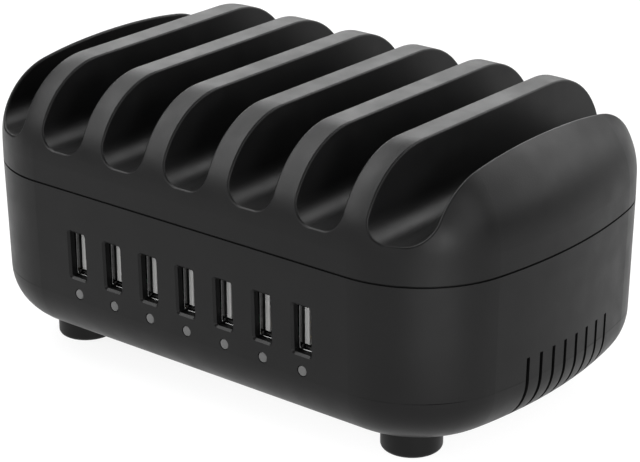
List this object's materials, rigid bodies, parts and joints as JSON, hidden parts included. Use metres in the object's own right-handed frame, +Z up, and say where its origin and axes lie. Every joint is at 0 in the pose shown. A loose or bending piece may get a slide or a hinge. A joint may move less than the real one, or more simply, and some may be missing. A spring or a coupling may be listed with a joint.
{
  "type": "multi port usb desktop charger",
  "caption": "Free-standing desktop charging station: a rounded black case on rubber feet, with ribs that hold phones and tablets upright above a row of USB sockets and lights.",
  "frame": {"origin": "on the floor, under the middle of the charger", "axes": "+X runs along the case to the right as seen from the sockets, the sockets face -Y, +Z is up"},
  "size_m": [0.1842, 0.1132, 0.0888],
  "materials": {
    "case_plastic": "fine matt black moulding",
    "foot_rubber": "matt black rubber",
    "socket_shell": "plated sheet steel",
    "socket_insulator": "pale moulded plastic",
    "contact_metal": "gold plated",
    "light_pipe": "frosted clear plastic",
    "screw_steel": "zinc plated",
    "led_resin": "clear resin",
    "board_laminate": "green solder mask",
    "insulating_film": "pale film",
    "inlet_plastic": "black moulding",
    "pin_metal": "nickel plated brass",
    "live_insulation": "brown insulation",
    "neutral_insulation": "blue insulation",
    "ferrite": "dark grey ferrite",
    "winding_tape": "yellow tape",
    "capacitor_sleeve": "dark sleeve",
    "copper_winding": "enamelled copper",
    "filter_resin": "yellow case",
    "fuse_resin": "brown case",
    "chip_resin": "black resin",
    "heat_sink_metal": "plain extrusion"
  },
  "bodies": {
    "root": {"top_cover": "case_plastic", "bottom_case": "case_plastic", "case_screws": "screw_steel", "board_screws": "screw_steel", "indicator_leds": "led_resin", "socket_board": "board_laminate", "power_board": "board_laminate", "insulating_sheet": "insulating_film", "mains_inlet": "inlet_plastic", "inlet_pins": "pin_metal", "live_lead": "live_insulation", "neutral_lead": "neutral_insulation", "transformer_core": "ferrite", "transformer_winding": "winding_tape", "bulk_capacitors": "capacitor_sleeve", "output_capacitors": "capacitor_sleeve", "mains_choke": "copper_winding", "line_filter_capacitor": "filter_resin", "fuse": "fuse_resin", "bridge_rectifier": "chip_resin", "switching_transistor": "chip_resin", "output_rectifier": "chip_resin", "primary_heat_sink": "heat_sink_metal", "secondary_heat_sink": "heat_sink_metal", "foot_front_left": "foot_rubber", "foot_rear_left": "foot_rubber", "foot_front_right": "foot_rubber", "foot_rear_right": "foot_rubber", "usb_shell_1": "socket_shell", "usb_insulator_1": "socket_insulator", "usb_contacts_1": "contact_metal", "light_pipe_1": "light_pipe", "usb_shell_2": "socket_shell", "usb_insulator_2": "socket_insulator", "usb_contacts_2": "contact_metal", "light_pipe_2": "light_pipe", "usb_shell_3": "socket_shell", "usb_insulator_3": "socket_insulator", "usb_contacts_3": "contact_metal", "light_pipe_3": "light_pipe", "usb_shell_4": "socket_shell", "usb_insulator_4": "socket_insulator", "usb_contacts_4": "contact_metal", "light_pipe_4": "light_pipe", "usb_shell_5": "socket_shell", "usb_insulator_5": "socket_insulator", "usb_contacts_5": "contact_metal", "light_pipe_5": "light_pipe", "usb_shell_6": "socket_shell", "usb_insulator_6": "socket_insulator", "usb_contacts_6": "contact_metal", "light_pipe_6": "light_pipe", "usb_shell_7": "socket_shell", "usb_insulator_7": "socket_insulator", "usb_contacts_7": "contact_metal", "light_pipe_7": "light_pipe"}
  },
  "joints": []
}
